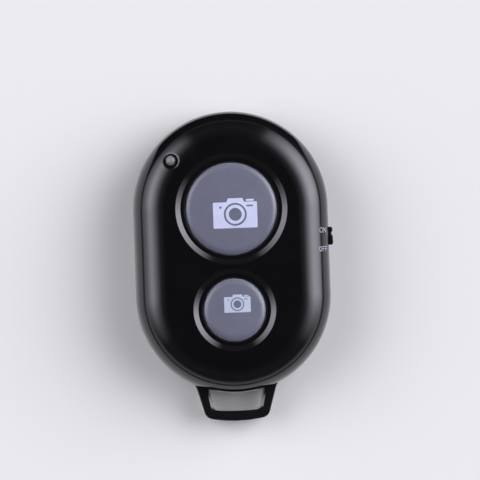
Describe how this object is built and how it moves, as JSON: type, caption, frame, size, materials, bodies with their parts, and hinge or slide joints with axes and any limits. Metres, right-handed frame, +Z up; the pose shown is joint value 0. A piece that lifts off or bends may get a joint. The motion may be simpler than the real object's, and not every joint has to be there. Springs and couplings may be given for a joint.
{
  "type": "camera shutter remote",
  "caption": "Pocket camera shutter remote: rounded flat body with round push buttons in dished wells, an indicator light, a side power switch and a lanyard loop.",
  "frame": {"origin": "on the flat back, under the middle of the body without its lanyard loop", "axes": "+X across the body towards the power switch, +Y along it towards the large button, +Z up out of the face"},
  "size_m": [0.0327, 0.051, 0.0102],
  "materials": {
    "case_face": "gloss",
    "case_back": "gloss",
    "door_plastic": "satin",
    "button_paint": "satin",
    "board_laminate": "satin",
    "copper_foil": "satin",
    "chip_resin": "matte",
    "crystal_can": "satin",
    "capacitor_ceramic": "satin",
    "resistor_ceramic": "satin",
    "switch_resin": "satin",
    "switch_steel": "satin",
    "plunger_resin": "satin",
    "knob_plastic": "satin",
    "clear_epoxy": "gloss",
    "lead_wire": "satin",
    "cell_steel": "satin",
    "gasket_resin": "satin",
    "cell_filling": "matte",
    "spring_steel": "satin",
    "screw_steel": "satin"
  },
  "bodies": {
    "remote_body": {"upper_case": "case_face", "lower_case": "case_back", "circuit_board": "board_laminate", "antenna_trace": "copper_foil", "radio_chip": "chip_resin", "memory_chip": "chip_resin", "crystal": "crystal_can", "capacitors": "capacitor_ceramic", "resistors": "resistor_ceramic", "large_switch_base": "switch_resin", "large_switch_cover": "switch_steel", "large_switch_dome": "switch_steel", "large_switch_leads": "switch_steel", "small_switch_base": "switch_resin", "small_switch_cover": "switch_steel", "small_switch_dome": "switch_steel", "small_switch_leads": "switch_steel", "slide_switch_base": "switch_resin", "slide_switch_shell": "switch_steel", "status_led": "clear_epoxy", "led_leads": "lead_wire", "positive_contact": "spring_steel", "negative_contact": "spring_steel", "case_screws": "screw_steel"},
    "large_button": {"large_button": "button_paint", "large_switch_plunger": "plunger_resin"},
    "small_button": {"small_button": "button_paint", "small_switch_plunger": "plunger_resin"},
    "power_switch": {"switch_knob": "knob_plastic", "slide_switch_actuator": "plunger_resin"},
    "battery_door": {"battery_door": "door_plastic"},
    "coin_cell": {"battery_can": "cell_steel", "battery_cap": "cell_steel", "battery_gasket": "gasket_resin", "battery_core": "cell_filling"}
  },
  "joints": [
    {"name": "large_button_push", "type": "slide", "parent": "remote_body", "child": "large_button", "axis": [0, 0, -1], "range_m": [0, 0.0003], "stiffness_N_per_m": 4000, "deforming": ["large_switch_dome"]},
    {"name": "small_button_push", "type": "slide", "parent": "remote_body", "child": "small_button", "axis": [0, 0, -1], "range_m": [0, 0.0003], "stiffness_N_per_m": 4000, "deforming": ["small_switch_dome"]},
    {"name": "power_switch_slide", "type": "slide", "parent": "remote_body", "child": "power_switch", "axis": [0, -1, 0], "range_m": [0, 0.0015]},
    {"name": "battery_door_tip", "type": "hinge", "parent": "remote_body", "child": "battery_door", "pos_m": [0, 0.0087, 0], "axis": [1, 0, 0], "range_deg": [0, 70]},
    {"name": "coin_cell_slide", "type": "slide", "parent": "remote_body", "child": "coin_cell", "axis": [0, 0, -1], "range_m": [0, 0.00318]}
  ],
  "couplings": [
    {"joint": "battery_door_tip", "follows": "coin_cell_slide", "rad_per_m": 384.62}
  ]
}
